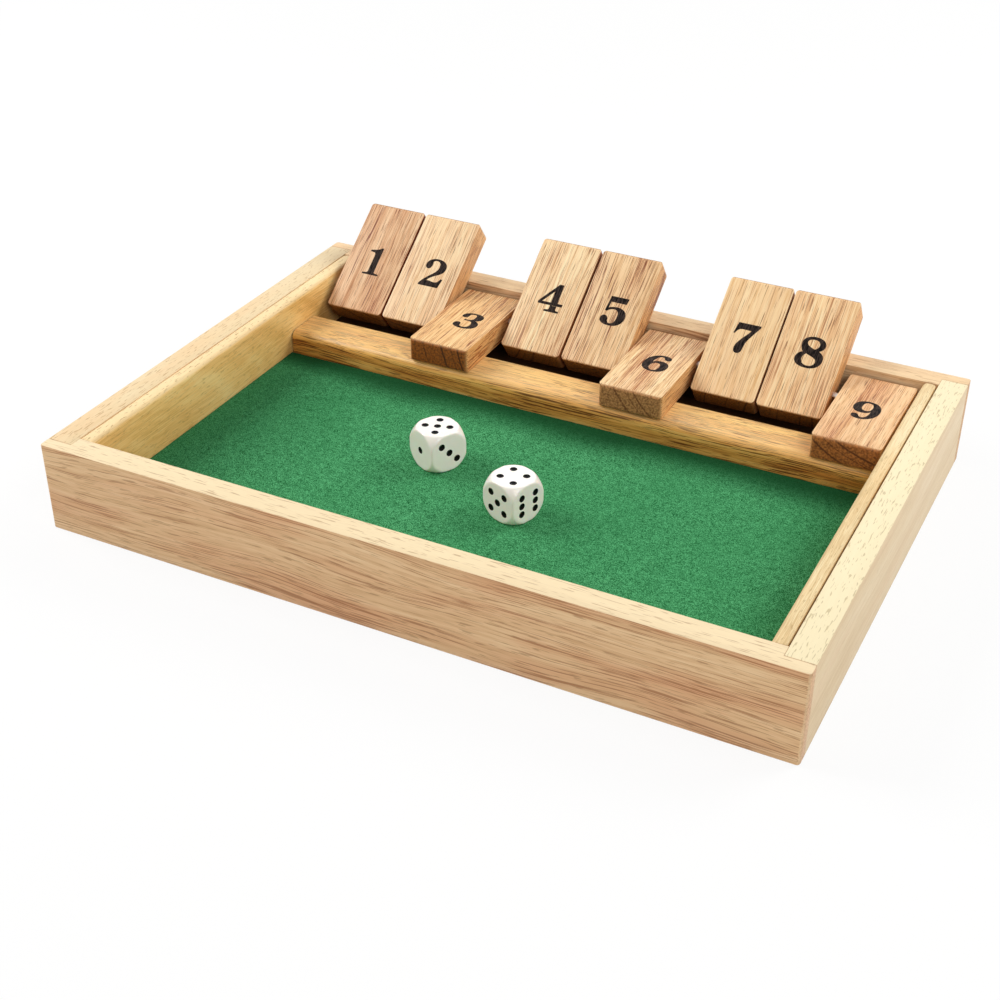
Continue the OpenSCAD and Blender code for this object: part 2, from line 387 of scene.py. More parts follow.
def buildRail(node, facing, look):
    # facing is 1 where the tray lies towards +Y, and -1 for the back rail
    low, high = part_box(node)
    outer, inner = (low.y, high.y) if facing > 0 else (high.y, low.y)
    lipY = outer + facing * caseShape["lip"]
    piece = addBlock(node + "_board", (low.x, min(outer, lipY), low.z), (high.x, max(outer, lipY), high.z))
    roundEdges(piece, lambda m, d: abs(d.z) > 0.9 and abs(m.y - outer) < close,
               caseShape["cornerRadius"], 6)
    for x in (-sideX, sideX):
        cutAcross(piece, (x, 0, 0), (1, 0, 0))
    pullFaces(piece, lambda c, n: n.y * facing > 0.9 and abs(c.x) < sideX, (0, inner - lipY, 0))
    for z in (grooveLow, grooveHigh):
        cutAcross(piece, (0, 0, z), (0, 0, 1))
    pullFaces(piece, lambda c, n: n.y * facing > 0.9 and abs(c.y - inner) < close
              and grooveLow < c.z < grooveHigh, (0, -facing * grooveDeep, 0))
    tidyNormals(piece)
    easeEdges(piece, caseShape["ease"])
    smooth(piece)
    markFaces(piece, (1, 0, 0))
    finishPiece(piece, woodMaterial(node + "_rubberwood", look), "case", [node])


def buildSide(node, facing, look):
    # facing is 1 for the left board, whose inner face looks along +X
    low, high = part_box(node)
    seam = Vector((0, caseShape["seam"], 0))  # the open joint against the rails' lips
    piece = addBlock(node + "_board", low + seam, high - seam)
    for z in (grooveLow, grooveHigh):
        cutAcross(piece, (0, 0, z), (0, 0, 1))
    pullFaces(piece, lambda c, n: n.x * facing > 0.9 and grooveLow < c.z < grooveHigh,
              (-facing * grooveDeep, 0, 0))
    tidyNormals(piece)
    easeEdges(piece, caseShape["ease"])
    smooth(piece)
    markFaces(piece, (0, 1, 0))
    finishPiece(piece, woodMaterial(node + "_rubberwood", look), "case", [node])


buildRail("front_rail", 1, caseLook)
buildRail("back_rail", -1, backLook)
buildSide("left_side", 1, leftLook)
buildSide("right_side", -1, sideLook)
print("case boards done")

linerLook = {
    **sideLook, "centre": (-130, 0, 30), "seed": (5.5, 2.1, 1.6), "pith": (42, 0, 10), "taper": 0.2,
    "ringGap": 7.0, "ringWeight": 0.75, "streakWeight": 0.4, "fibreWeight": 0.6, "pale": "#ffde9b",
    "middle": "#f7ca7f", "dark": "#d8a656", "red": "#f5bc73", "redness": 0.4, "top": "#f5dfb2",
    "sandedAndLitTopPart": 0.75, "line": "#b08a4a", "lineDepth": 0.3, "pore": "#8c6834", "poreFrom": 0.62,
    "poreDepth": 0.55, "poreAlong": 0.34, "poreBelow": 0.5,
}
rightLinerLook = {
    **linerLook, "centre": (130, 0, 30), "seed": (6.0, 1.3, 2.9), "pale": "#f2e0b5", "middle": "#e4c794",
    "dark": "#c69d63", "top": "#f0dcaf", "sandedAndLitTopPart": 0.4, "taper": 0.05, "figureSoft": 0.16,
    "lineDepth": 0.5, "poreDepth": 0.3,
}
linerShape = {
    "topRadius": 2.0 * mm, "endRadius": 2.0 * mm, "ease": 0.2 * mm, "boreRadius": 1.55 * mm,
    "boreDeep": 4.2 * mm, "seam": 0.7 * mm,
}
rodLow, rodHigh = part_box("pivot_rod")
pivot = (rodLow + rodHigh) / 2


def buildLiner(node, facing, look):
    # facing is 1 for the left liner, whose inner face looks along +X
    low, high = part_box(node)
    inner = high.x if facing > 0 else low.x
    if facing > 0:
        low.x += linerShape["seam"]
    else:
        high.x -= linerShape["seam"]
    piece = addBlock(node + "_strip", low, high)
    roundEdges(piece, lambda m, d: abs(d.z) > 0.9 and m.y > high.y - close, linerShape["endRadius"], 8)
    section = addBlock("section", (low.x, low.y - spare, low.z - spare), (high.x, high.y + spare, high.z))
    roundEdges(section, lambda m, d: abs(d.y) > 0.9 and m.z > high.z - close and abs(m.x - inner) < close,
               linerShape["topRadius"], 8)
    combine(piece, section, "INTERSECT")
    easeEdges(piece, linerShape["ease"], 2, 50)
    bore = sorted((inner - facing * linerShape["boreDeep"], inner + facing * 2 * spare))
    boreAlongX(piece, linerShape["boreRadius"], *bore, pivot.y, pivot.z)
    smooth(piece)
    markFaces(piece, (0, 1, 0))
    finishPiece(piece, woodMaterial(node + "_rubberwood", look), "case", [node])


buildLiner("left_liner", 1, linerLook)
buildLiner("right_liner", -1, rightLinerLook)

# stained honey brown, with close dark vessel lines; its ends are near black, stained end grain with
# painted shade added for the joints against the liners
barLook = {
    **caseLook, "centre": (0, 42, 18), "seed": (1.2, 3.1, 5.3), "pith": (0, 24, 30), "pale": "#f9ca77",
    "middle": "#e8ad56", "dark": "#b87b35", "red": "#d8893c", "redness": 0.8, "top": "#f7d799",
    "sandedAndLitTopPart": 0.45, "figureSoft": 0.18, "lineAlong": 0.045, "lineAcross": 2.5, "line": "#5c2c06",
    "lineFrom": 0.548, "lineSoft": 0.05, "lineDepth": 0.9, "pore": "#6e3c14", "poreFrom": 0.61,
    "poreDepth": 0.65, "edge": "#f0c078", "paintedEdgePart": 0.3, "endPale": "#4e2c10", "endDark": "#321a08",
    "roughness": 0.36, "coat": 0.15,
}
barShape = {"frontRadius": 3.4 * mm, "ease": 0.5 * mm, "endGap": 0.4 * mm}
barLow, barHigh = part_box("stop_bar")
barGap = Vector((barShape["endGap"], 0, 0))  # shows as the dark line at each end
bar = addBlock("stop_bar_wood", barLow + barGap, barHigh - barGap)
roundEdges(bar, lambda m, d: abs(d.x) > 0.9 and m.z > barHigh.z - close and m.y < barLow.y + close,
           barShape["frontRadius"], 12)
easeEdges(bar, barShape["ease"])
smooth(bar)
markFaces(bar, (1, 0, 0))
finishPiece(bar, woodMaterial("honey_rubberwood", barLook), "case", ["stop_bar"])

baseShape = {"ease": 0.2 * mm, "dark": "#33200f", "pale": "#5a3c22"}


def hardboardMaterial():
    # Tempered hardboard: pressed wood fibre, dark brown, flat and dull, with flecks a millimetre long. It
    # is made darker still as painted shade, so that the gap behind the bar shows near black.
    made, tree = newMaterial("tempered_hardboard")
    size = objectPlace(tree, toMillimetres)
    fibre = addNode(tree, "TexNoise", {"Scale": 0.9, "Detail": 4.0, "Roughness": 0.65, "Distortion": 1.5},
                    {"Vector": size.outputs[0]})
    patch = addNode(tree, "TexNoise", {"Scale": 0.04, "Detail": 2.0}, {"Vector": size.outputs[0]})
    mottle = addNode(tree, "Math", {1: 0.4}, {0: patch.outputs["Fac"], 2: fibre.outputs["Fac"]},
                     operation="MULTIPLY_ADD")
    shade = addNode(tree, "ValToRGB", {}, {0: mottle.outputs[0]})
    shade.color_ramp.elements[0].color = tone(baseShape["dark"])
    shade.color_ramp.elements[0].position = 0.5
    shade.color_ramp.elements[1].color = tone(baseShape["pale"])
    shade.color_ramp.elements[1].position = 0.9
    gloss = addNode(tree, "MapRange", {3: 0.55, 4: 0.75}, {0: fibre.outputs["Fac"]})
    bump = addNode(tree, "Bump", {"Strength": 0.4, "Distance": 0.1 * mm},
                   {"Height": fibre.outputs["Fac"]})
    shader = addNode(tree, "BsdfPrincipled", {"IOR": 1.5, "Specular IOR Level": 0.25},
                     {"Base Color": shade.outputs[0], "Roughness": gloss.outputs[0],
                      "Normal": bump.outputs[0]})
    addNode(tree, "OutputMaterial", {}, {"Surface": shader.outputs[0]})
    return made


basePanel = addBlock("base_board", *panelBox)
easeEdges(basePanel, baseShape["ease"])
smooth(basePanel)
finishPiece(basePanel, hardboardMaterial(), "case", ["base_panel"])
print("liners, stop bar and base done")

rodShape = {"radius": 1.5 * mm, "chamfer": 0.35 * mm, "dark": "#c6c4c2", "pale": "#e6e5e3"}


def steelMaterial():
    # Bright drawn steel rod: near mirror, with fine draw lines 0.1 mm wide and 25 mm long.
    made, tree = newMaterial("drawn_steel")
    lines = objectPlace(tree, (40, 9000, 9000))
    drawn = addNode(tree, "TexNoise", {"Scale": 1.0, "Detail": 3.0}, {"Vector": lines.outputs[0]})
    gloss = addNode(tree, "MapRange", {1: 0.3, 2: 0.7, 3: 0.16, 4: 0.34}, {0: drawn.outputs["Fac"]})
    shade = addNode(tree, "ValToRGB", {}, {0: drawn.outputs["Fac"]})
    shade.color_ramp.elements[0].color = tone(rodShape["dark"])
    shade.color_ramp.elements[1].color = tone(rodShape["pale"])
    bump = addNode(tree, "Bump", {"Strength": 0.2, "Distance": 0.02 * mm},
                   {"Height": drawn.outputs["Fac"]})
    shader = addNode(tree, "BsdfPrincipled", {"Metallic": 1.0},
                     {"Base Color": shade.outputs[0], "Roughness": gloss.outputs[0],
                      "Normal": bump.outputs[0]})
    addNode(tree, "OutputMaterial", {}, {"Surface": shader.outputs[0]})
    return made


useNone()
bpy.ops.mesh.primitive_cylinder_add(vertices=48, radius=rodShape["radius"], depth=rodHigh.x - rodLow.x,
                                    location=pivot, rotation=(0, math.pi / 2, 0))
rod = settle(bpy.context.object)
rod.name = "steel_rod"
roundEdges(rod, lambda m, d: abs(d.x) < 0.5, rodShape["chamfer"], 1)
smooth(rod, 40)
finishPiece(rod, steelMaterial(), "case", ["pivot_rod"])

feltLow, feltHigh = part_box("felt")
# how far from the bar and the strip the bands of painted shadow begin and end, in mm, and how dark they
# are
feltLook = {
    "dark": "#084c22", "pale": "#62bc80", "middle": "#2b7a47", "paintedShadow": "#0c4220",
    "barFar": 24, "barNear": 3, "barShadowPart": 0.88, "stripNear": 15, "stripFar": 65, "stripShadowPart": 0.42,
}


def feltMaterial():
    # Pressed green wool felt: matt, with a nap of tangled fibres. They are 0.03 mm thick, too fine to
    # show here, so the nap is drawn as tufts 0.35 mm across over softer clumps of 2 mm.
    made, tree = newMaterial("wool_felt")
    size = objectPlace(tree, toMillimetres)
    nap = addNode(tree, "TexNoise", {"Scale": 2.8, "Detail": 3.0, "Roughness": 0.75, "Distortion": 0.1},
                  {"Vector": size.outputs[0]})
    clump = addNode(tree, "TexNoise", {"Scale": 0.5, "Detail": 2.0}, {"Vector": size.outputs[0]})
    cloud = addNode(tree, "TexNoise", {"Scale": 0.03, "Detail": 2.0}, {"Vector": size.outputs[0]})
    part = addNode(tree, "Math", {1: 0.88}, {0: nap.outputs["Fac"]}, operation="MULTIPLY")
    both = addNode(tree, "Math", {1: 0.12}, {0: clump.outputs["Fac"], 2: part.outputs[0]},
                   operation="MULTIPLY_ADD")
    shade = addNode(tree, "ValToRGB", {}, {0: both.outputs[0]})
    shade.color_ramp.elements[0].color = tone(feltLook["dark"])
    shade.color_ramp.elements[0].position = 0.42
    shade.color_ramp.elements[1].color = tone(feltLook["pale"])
    shade.color_ramp.elements[1].position = 0.6
    soft = addNode(tree, "MapRange", {1: 0.3, 2: 0.7, 3: 0.0, 4: 0.25}, {0: cloud.outputs["Fac"]})
    cloudy = addNode(tree, "Mix", {7: tone(feltLook["middle"])}, {0: soft.outputs[0], 6: shade.outputs[0]},
                     data_type="RGBA")
    # painted shadow: the felt is darker along the bar and the left strip, where their shade falls
    where = addNode(tree, "SeparateXYZ", {}, {0: size.outputs[0]})
    barEdge, stripEdge = feltHigh.y / mm, feltLow.x / mm
    shadowByBar = addNode(tree, "MapRange", {1: barEdge - feltLook["barFar"], 2: barEdge - feltLook["barNear"],
                                       3: 0.0, 4: feltLook["barShadowPart"]},
                    {0: where.outputs[1]}, interpolation_type="SMOOTHSTEP")
    shadowByStrip = addNode(tree, "MapRange", {1: stripEdge + feltLook["stripNear"],
                                         2: stripEdge + feltLook["stripFar"],
                                         3: feltLook["stripShadowPart"], 4: 0.0},
                      {0: where.outputs[0]})
    paintedShadow = addNode(tree, "Math", {}, {0: shadowByBar.outputs[0], 1: shadowByStrip.outputs[0]}, operation="MAXIMUM")
    colour = addNode(tree, "Mix", {7: tone(feltLook["paintedShadow"])},
                     {0: paintedShadow.outputs[0], 6: cloudy.outputs[2]}, data_type="RGBA")
    bump = addNode(tree, "Bump", {"Strength": 0.8, "Distance": 0.3 * mm}, {"Height": both.outputs[0]})
    shader = addNode(tree, "BsdfPrincipled", {"Roughness": 0.95, "Specular IOR Level": 0.04,
                                              "Sheen Weight": 0.05, "Sheen Roughness": 0.5,
                                              "Sheen Tint": tone("#8fd0a0")},
                     {"Base Color": colour.outputs[2], "Normal": bump.outputs[0]})
    addNode(tree, "OutputMaterial", {}, {"Surface": shader.outputs[0]})
    return made


feltShape = {
    "spacing": 1.0 * mm, "edgeDrop": 0.35 * mm, "edgeWide": 1.2 * mm, "ripple": 0.12 * mm,
    "stillRim": 4 * mm, "underClear": 0.4 * mm,
}
feltSize = feltHigh - feltLow
useNone()
bpy.ops.mesh.primitive_grid_add(x_subdivisions=int(feltSize.x / feltShape["spacing"]),
                                y_subdivisions=int(feltSize.y / feltShape["spacing"]), size=1,
                                location=((feltLow + feltHigh) / 2).xy.to_3d())
felt = bpy.context.object
felt.name = "felt_sheet"
felt.scale = (feltSize.x, feltSize.y, 1)
settle(felt)
for point in felt.data.vertices:
    x, y = point.co.x, point.co.y
    wave = math.sin(x * 61 + 1.3) * math.sin(y * 74 + 0.4) + 0.5 * math.sin(x * 171 + y * 143)
    rim = min(x - feltLow.x, feltHigh.x - x, y - feltLow.y, feltHigh.y - y)
    drop = feltShape["edgeDrop"] * max(0.0, 1 - rim / feltShape["edgeWide"]) ** 2
    ripple = feltShape["ripple"] * 0.5 * (1 + wave / 1.5) * min(1.0, rim / feltShape["stillRim"])
    point.co.z = feltHigh.z - ripple - drop
applyModifier(felt, "SOLIDIFY", thickness=feltSize.z - feltShape["underClear"], offset=-1)
smooth(felt, 60)
finishPiece(felt, feltMaterial(), "case", ["felt"])
print("rod and felt done")

tileShape = {
    "long": 53.8 * mm, "thick": 10.2 * mm, "pivotEnd": 14.0 * mm, "pivotFace": 4.0 * mm,
    "pivotCorner": 2.0 * mm, "freeCorner": 2.0 * mm, "pivotEdge": 0.8 * mm, "freeEdge": 1.5 * mm,
    "edge": 0.24 * mm, "boreRadius": 1.55 * mm, "gap": 0.26 * mm,
}
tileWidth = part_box("tile_1")[1].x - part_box("tile_1")[0].x - 2 * tileShape["gap"]


def buildBlank():
    # lies along +Y from its pivot end, with the rod's axis at the origin
    shape = tileShape
    yLow, yHigh = -shape["pivotEnd"], shape["long"] - shape["pivotEnd"]
    zLow, zHigh = -shape["pivotFace"], shape["thick"] - shape["pivotFace"]
    piece = addBlock("tile_blank", (-tileWidth / 2, yLow, zLow), (tileWidth / 2, yHigh, zHigh))
    roundEdges(piece, lambda m, d: abs(d.x) > 0.9 and m.y < 0, shape["pivotEdge"], 4)
    roundEdges(piece, lambda m, d: abs(d.x) > 0.9 and m.y > yHigh - close, shape["freeEdge"], 6)
    plan = addBlock("plan", (-tileWidth / 2, yLow, zLow - spare), (tileWidth / 2, yHigh, zHigh + spare))
    roundEdges(plan, lambda m, d: abs(d.z) > 0.9 and m.y < 0, shape["pivotCorner"], 8)
    roundEdges(plan, lambda m, d: abs(d.z) > 0.9 and m.y > yHigh - close, shape["freeCorner"], 7)
    combine(piece, plan, "INTERSECT")
    easeEdges(piece, shape["edge"], 3, 50)
    boreAlongX(piece, shape["boreRadius"], -tileWidth, tileWidth, 0, 0)
    smooth(piece)
    return piece


numberShapes = {
    1: ["3.45 4.75 L 5.6 4.35 C 6.6 4.15 7.6 3.8 8.35 3.05 L 9.15 3.05 L 9.25 15 "
        "C 9.25 15.7 9.5 15.95 10.4 16 L 11.7 16.1 L 11.7 16.9 L 3.75 16.9 L 3.75 16.1 L 5 16 "
        "C 5.9 15.95 6.2 15.7 6.2 15 L 6.2 7.2 C 6.2 6.2 5.8 5.75 5 5.65 L 3.45 5.55"],
    2: ["4.05 6 C 4.05 3.9 5.9 2.5 8.7 2.5 C 11.9 2.5 14.1 3.9 14.1 6.3 C 14.1 8.4 12.9 9.3 11 10.3 "
        "C 9.2 11.25 8 12.2 7 13.5 C 8.4 13.2 9.6 13.75 11 13.75 C 12.4 13.75 13 13 13.4 11.75 "
        "L 14.5 11.75 L 13.6 16.2 L 4 16.2 L 3.95 15.5 C 4.9 13.7 6.4 12 8.3 10.3 "
        "C 10 8.8 10.8 7.6 10.8 6.1 C 10.8 4.4 9.9 3.45 8.6 3.45 C 7.7 3.45 7.15 3.8 7 4.3 "
        "C 7.4 5 7.25 7.75 5.7 7.75 C 4.7 7.75 4.05 7 4.05 6"],
    3: ["3.97 5.9 C 3.97 3.9 5.9 2.5 8.6 2.5 C 11.6 2.5 13.7 3.7 13.7 5.8 C 13.7 7.4 12.9 8.3 11.5 9 "
        "C 13.2 9.7 14.25 11 14.25 12.9 C 14.25 15.4 12.1 17.15 8.9 17.15 "
        "C 5.9 17.15 3.65 16 3.65 14.1 C 3.65 12.9 4.3 12.15 5.2 12.15 C 6.5 12.15 6.8 13.2 6.9 14.5 "
        "C 7 15.4 7.6 15.8 8.6 15.8 C 10.2 15.8 11 14.8 11 13.2 C 11 11.1 10.2 9.85 8.6 9.85 "
        "L 6.5 9.85 L 6.5 8.85 L 8.2 8.85 C 9.6 8.85 10.2 7.7 10.2 5.9 C 10.2 4.4 9.7 3.6 8.7 3.6 "
        "C 7.9 3.6 7.2 3.9 7 4.7 C 7.1 6.2 6.7 7.35 5.4 7.35 C 4.5 7.35 3.97 6.7 3.97 5.9"],
    4: ["9.2 2.05 L 11.15 2.05 L 11.35 11.1 L 13.75 11.1 L 13.75 12.4 L 11.35 12.4 L 11.35 14 "
        "C 11.35 14.4 11.6 14.6 12.1 14.6 L 13.1 14.7 L 13.1 15.55 L 6.3 15.55 L 6.3 14.7 L 7.5 14.6 "
        "C 8.1 14.55 8.4 14.4 8.4 14 L 8.4 12.4 L 2.6 12.4 L 2.45 11.3 L 9.2 2.05",
        "8.3 5.6 L 8.3 11.1 L 4.25 11.1 L 8.3 5.6"],
    5: ["5.15 2.05 L 13.2 2.05 L 12.75 4.75 L 6 4.75 L 5.65 7.55 C 6.6 7 7.9 6.75 9.3 6.75 "
        "C 12.2 6.75 14.2 8.3 14.2 10.8 C 14.2 13.8 12 15.65 8.6 15.65 C 5.6 15.65 3.65 14.7 3.65 13 "
        "C 3.65 11.9 4.3 11.2 5.2 11.2 C 6.4 11.2 6.8 12.1 7 13.1 C 7.2 14.1 7.6 14.6 8.4 14.6 "
        "C 9.9 14.6 10.7 13.2 10.7 11 C 10.7 9 9.9 7.95 8.3 7.95 C 7.1 7.95 6.2 8.4 5.4 9.25 "
        "L 4.5 9.1 L 5.15 2.05"],
    6: ["2.85 9.7 C 2.85 5 5.7 1.7 9.3 1.7 C 11.4 1.7 12.85 2.7 12.85 4.1 "
        "C 12.85 4.95 12.3 5.45 11.6 5.45 C 10.5 5.45 10.2 4.9 9.9 4.1 C 9.7 3.5 9.3 3.1 8.7 3.1 "
        "C 7.3 3.1 6.4 5.2 6.35 8.4 C 7 7.35 8.1 6.75 9.5 6.75 C 12.2 6.75 13.75 8.5 13.75 11 "
        "C 13.75 14.2 11.8 16.25 8.7 16.25 C 5.1 16.25 2.85 13.9 2.85 9.7",
        "6.35 11.9 C 6.35 9.9 7 8.7 8.45 8.7 C 9.8 8.7 10.45 9.9 10.45 11.7 "
        "C 10.45 13.8 9.8 15.05 8.5 15.05 C 7.1 15.05 6.35 13.9 6.35 11.9"],
    7: ["3.9 1.5 L 13.3 1.5 L 13.3 2.3 C 11.9 4.9 10.2 7.4 9.4 9.6 C 8.9 10.9 8.95 12.2 8.8 13.2 "
        "C 8.6 14.6 7.9 15.2 6.9 15.2 C 5.8 15.2 5.2 14.3 5.2 13.1 C 5.2 11.6 5.9 10.2 6.9 8.8 "
        "C 8 7.2 9.2 5.9 10 4.4 L 6.3 4.3 C 5.1 4.3 4.4 4.9 3.9 6 L 3.6 6.65 L 2.95 6.6 L 3.9 1.5"],
    8: ["3.5 4.3 C 3.5 2.3 5.5 0.9 8.4 0.9 C 11.2 0.9 13.15 2.2 13.15 4.2 "
        "C 13.15 5.6 12.4 6.4 11.2 6.95 C 12.9 7.7 13.75 8.9 13.75 10.5 C 13.75 13.2 11.5 15 8.2 15 "
        "C 4.7 15 2.5 13.6 2.5 11.5 C 2.5 9.8 3.4 8.7 4.9 8.15 C 4 7.3 3.5 6 3.5 4.3",
        "5.7 3.7 C 5.7 2.7 6.8 2.2 8.2 2.2 C 9.8 2.2 10.7 3 10.7 4.2 C 10.7 5.1 10.2 5.8 9.3 6.4 "
        "C 7.5 5.8 5.7 5.1 5.7 3.7",
        "6.5 8.8 C 5.7 9.4 5.3 10.2 5.3 11.2 C 5.3 12.8 6.6 13.9 8.4 13.9 C 10 13.9 11 13 11 11.7 "
        "C 11 10 8.6 9.7 6.5 8.8"],
}


def readOutline(words):
    # a start point, then L with one point or C with two handles and a point, in mm, Y down
    parts = words.split()
    points = [[Vector((float(parts[0]), float(parts[1]))), None, None]]
    at = 2
    while at < len(parts):
        count = 3 if parts[at] == "C" else 1
        numbers = [float(v) for v in parts[at + 1:at + 1 + 2 * count]]
        steps = [Vector(numbers[i:i + 2]) for i in range(0, 2 * count, 2)]
        start, end = points[-1][0], steps[-1]
        points[-1][2] = steps[0] if count == 3 else start.lerp(end, 1 / 3)
        points.append([end, steps[1] if count == 3 else end.lerp(start, 1 / 3), None])
        at += 1 + 2 * count
    last = points[-1]
    if (last[0] - points[0][0]).length < 0.001:
        points.pop()
        points[0][1] = last[1]
    else:
        points[0][1] = points[0][0].lerp(last[0], 1 / 3)
        last[2] = last[0].lerp(points[0][0], 1 / 3)
    return points


def drawNumber(name, outlines, toPlace):
    curve = bpy.data.curves.new(name, "CURVE")
    curve.dimensions = "2D"
    curve.fill_mode = "BOTH"
    curve.resolution_u = 10
    for outline in outlines:
        points = readOutline(outline)
        spline = curve.splines.new("BEZIER")
        spline.bezier_points.add(len(points) - 1)
        spline.use_cyclic_u = True
        for knot, (point, before, after) in zip(spline.bezier_points, points):
            knot.handle_left_type = knot.handle_right_type = "FREE"
            knot.co = toPlace(point)
            knot.handle_left = toPlace(before)
            knot.handle_right = toPlace(after)
    piece = bpy.data.objects.new(name, curve)
    bpy.context.scene.collection.objects.link(piece)
    useOnly(piece)
    bpy.ops.object.convert(target="MESH")
    tidyNormals(piece)
    return piece


# the outlines' middle and their distance from the rod on the upper and lower faces are in mm
numberShape = {
    "middleX": 7.5, "upOffset": 21.2, "downOffset": 4.6, "proud": 0.03 * mm, "sunk": 0.06 * mm,
    "ink": "#0b090a", "thinInk": "#463a35",
}
# the 9 is the 6 turned half round, with its middle moved from one place to the other
turnedSix = {"from": (8.3, 8.98), "to": (7.55, 8.33)}


def inkMaterial():
    # Black pad-printed ink on wood: satin and thin, so that the wood's grain tells through as faint
    # lighter streaks, 0.4 mm wide and 3 mm long.
    made, tree = newMaterial("printed_ink")
    size = objectPlace(tree, (2600, 300, 300))
    grit = addNode(tree, "TexNoise", {"Scale": 1.0, "Detail": 3.0}, {"Vector": size.outputs[0]})
    shade = addNode(tree, "ValToRGB", {}, {0: grit.outputs["Fac"]})
    shade.color_ramp.elements[0].color = tone(numberShape["ink"])
    shade.color_ramp.elements[0].position = 0.4
    shade.color_ramp.elements[1].color = tone(numberShape["thinInk"])
    shade.color_ramp.elements[1].position = 0.64
    gloss = addNode(tree, "MapRange", {3: 0.4, 4: 0.6}, {0: grit.outputs["Fac"]})
    bump = addNode(tree, "Bump", {"Strength": 0.3, "Distance": 0.04 * mm},
                   {"Height": grit.outputs["Fac"]})
    shader = addNode(tree, "BsdfPrincipled", {"IOR": 1.4, "Specular IOR Level": 0.05},
                     {"Base Color": shade.outputs[0], "Roughness": gloss.outputs[0],
                      "Normal": bump.outputs[0]})
    addNode(tree, "OutputMaterial", {}, {"Surface": shader.outputs[0]})
    return made


def buildNumber(value):
    name = f"number_{value}"
    pieces = []
    for face in (1, -1):
        def toPlace(point):
            x, y = point
            if value == 9:
                x = turnedSix["from"][0] + turnedSix["to"][0] - x
                y = turnedSix["from"][1] + turnedSix["to"][1] - y
            along = numberShape["upOffset"] - y if face > 0 else numberShape["downOffset"] + y
            return Vector(((x - numberShape["middleX"]) * mm, along * mm, 0))
        piece = drawNumber(name, numberShapes[6 if value == 9 else value], toPlace)
        thick = numberShape["proud"] + numberShape["sunk"]
        applyModifier(piece, "SOLIDIFY", thickness=thick, offset=0)
        height = tileShape["thick"] - tileShape["pivotFace"] if face > 0 else -tileShape["pivotFace"]
        piece.location.z = height + face * (numberShape["proud"] - thick / 2)
        pieces.append(settle(piece))
    useOnly(pieces[0])
    pieces[1].select_set(True)
    bpy.ops.object.join()
    tidyNormals(pieces[0])
    pieces[0].name = name
    return pieces[0]


# a tan hardwood with long dark vessel lines and brown, ringed ends
tileLook = {
    **caseLook, "wander": (6.0, 1.2), "taper": 0.03, "ringGap": 2.4, "ringWeight": 0.3,
    "streakWeight": 0.4, "fibreWeight": 0.4, "figureSoft": 0.19, "sideLines": 0.05, "side": "#dda15d",
    "sideToneAndShadePart": 0.7, "sandedAndLitTopPart": 0.0, "lineAlong": 0.045, "lineAcross": 2.9, "line": "#883c08",
    "lineFrom": 0.575, "lineSoft": 0.04, "lineDepth": 0.85, "pore": "#6e3408", "poreFrom": 0.645,
    "poreDepth": 0.75, "poreAlong": 0.1, "poreAcross": 2.6, "endPale": "#9c6526", "endDark": "#47260a",
    "endPart": 0.97, "edge": "#c99660", "paintedEdgePart": 0.3, "roughness": 0.45, "bump": 0.5,
}
# what differs from tile to tile, with where each one's pith lay; 1, 4 and 7 have dark sides, painted shade
# for the gap to the next tile, which at rest is all that shows of them
tileLooks = {
    1: {"pale": "#f2d0a7", "middle": "#e2b68c", "dark": "#bb8152", "red": "#ca8961", "redness": 0.8,
        "line": "#74300a", "lineFrom": 0.562, "side": "#96602f", "sideLines": 0.3, "lineDepth": 0.95,
        "pith": (0, 40, -52)},
    2: {"pale": "#feebc4", "middle": "#f7d7ab", "dark": "#deab75", "red": "#edbf94", "redness": 0.4,
        "lineDepth": 0.52, "pith": (0, -30, 60)},
    3: {"pale": "#f6d49e", "middle": "#eabf87", "dark": "#c4864e", "red": "#dba169", "redness": 0.6,
        "lineFrom": 0.566, "lineDepth": 0.9, "pith": (0, 62, 19), "endPale": "#a8581a",
        "endDark": "#4a1e06", "endRings": 0.5},
    4: {"pale": "#fdeec3", "middle": "#f9d7a9", "dark": "#d5a56f", "red": "#e8b88b", "redness": 0.5,
        "side": "#96602f", "sideLines": 0.3, "lineDepth": 0.7, "pith": (0, -62, -30)},
    5: {"pale": "#fde0b4", "middle": "#efc99a", "dark": "#c6925c", "red": "#daa273", "redness": 0.6,
        "line": "#74300a", "lineFrom": 0.562, "lineDepth": 0.95, "pith": (0, 20, 66)},
    6: {"pale": "#fce2b5", "middle": "#eecb9a", "dark": "#c7935e", "red": "#d9a376", "redness": 0.6,
        "lineDepth": 0.85, "pith": (0, 44, 40), "endPale": "#c68a56", "endDark": "#6c3e1e",
        "endRings": 0.35},
    7: {"pale": "#fadeaf", "middle": "#f4cf9e", "dark": "#daa86c", "red": "#ecbe92", "redness": 0.4,
        "side": "#96602f", "sideLines": 0.3, "lineDepth": 0.42, "pith": (0, 70, 12)},
    8: {"pale": "#fde9be", "middle": "#f7d19e", "dark": "#d29b66", "red": "#e6b183", "redness": 0.5,
        "lineDepth": 0.62, "pith": (0, -80, -10)},
    9: {"pale": "#f6d2a3", "middle": "#e7bd8e", "dark": "#c58e56", "red": "#d69a6b", "redness": 0.6,
        "lineDepth": 0.68, "pith": (0, 24, 54), "endPale": "#ba6e34", "endDark": "#5c2c0e",
        "endRings": 0.45},
}

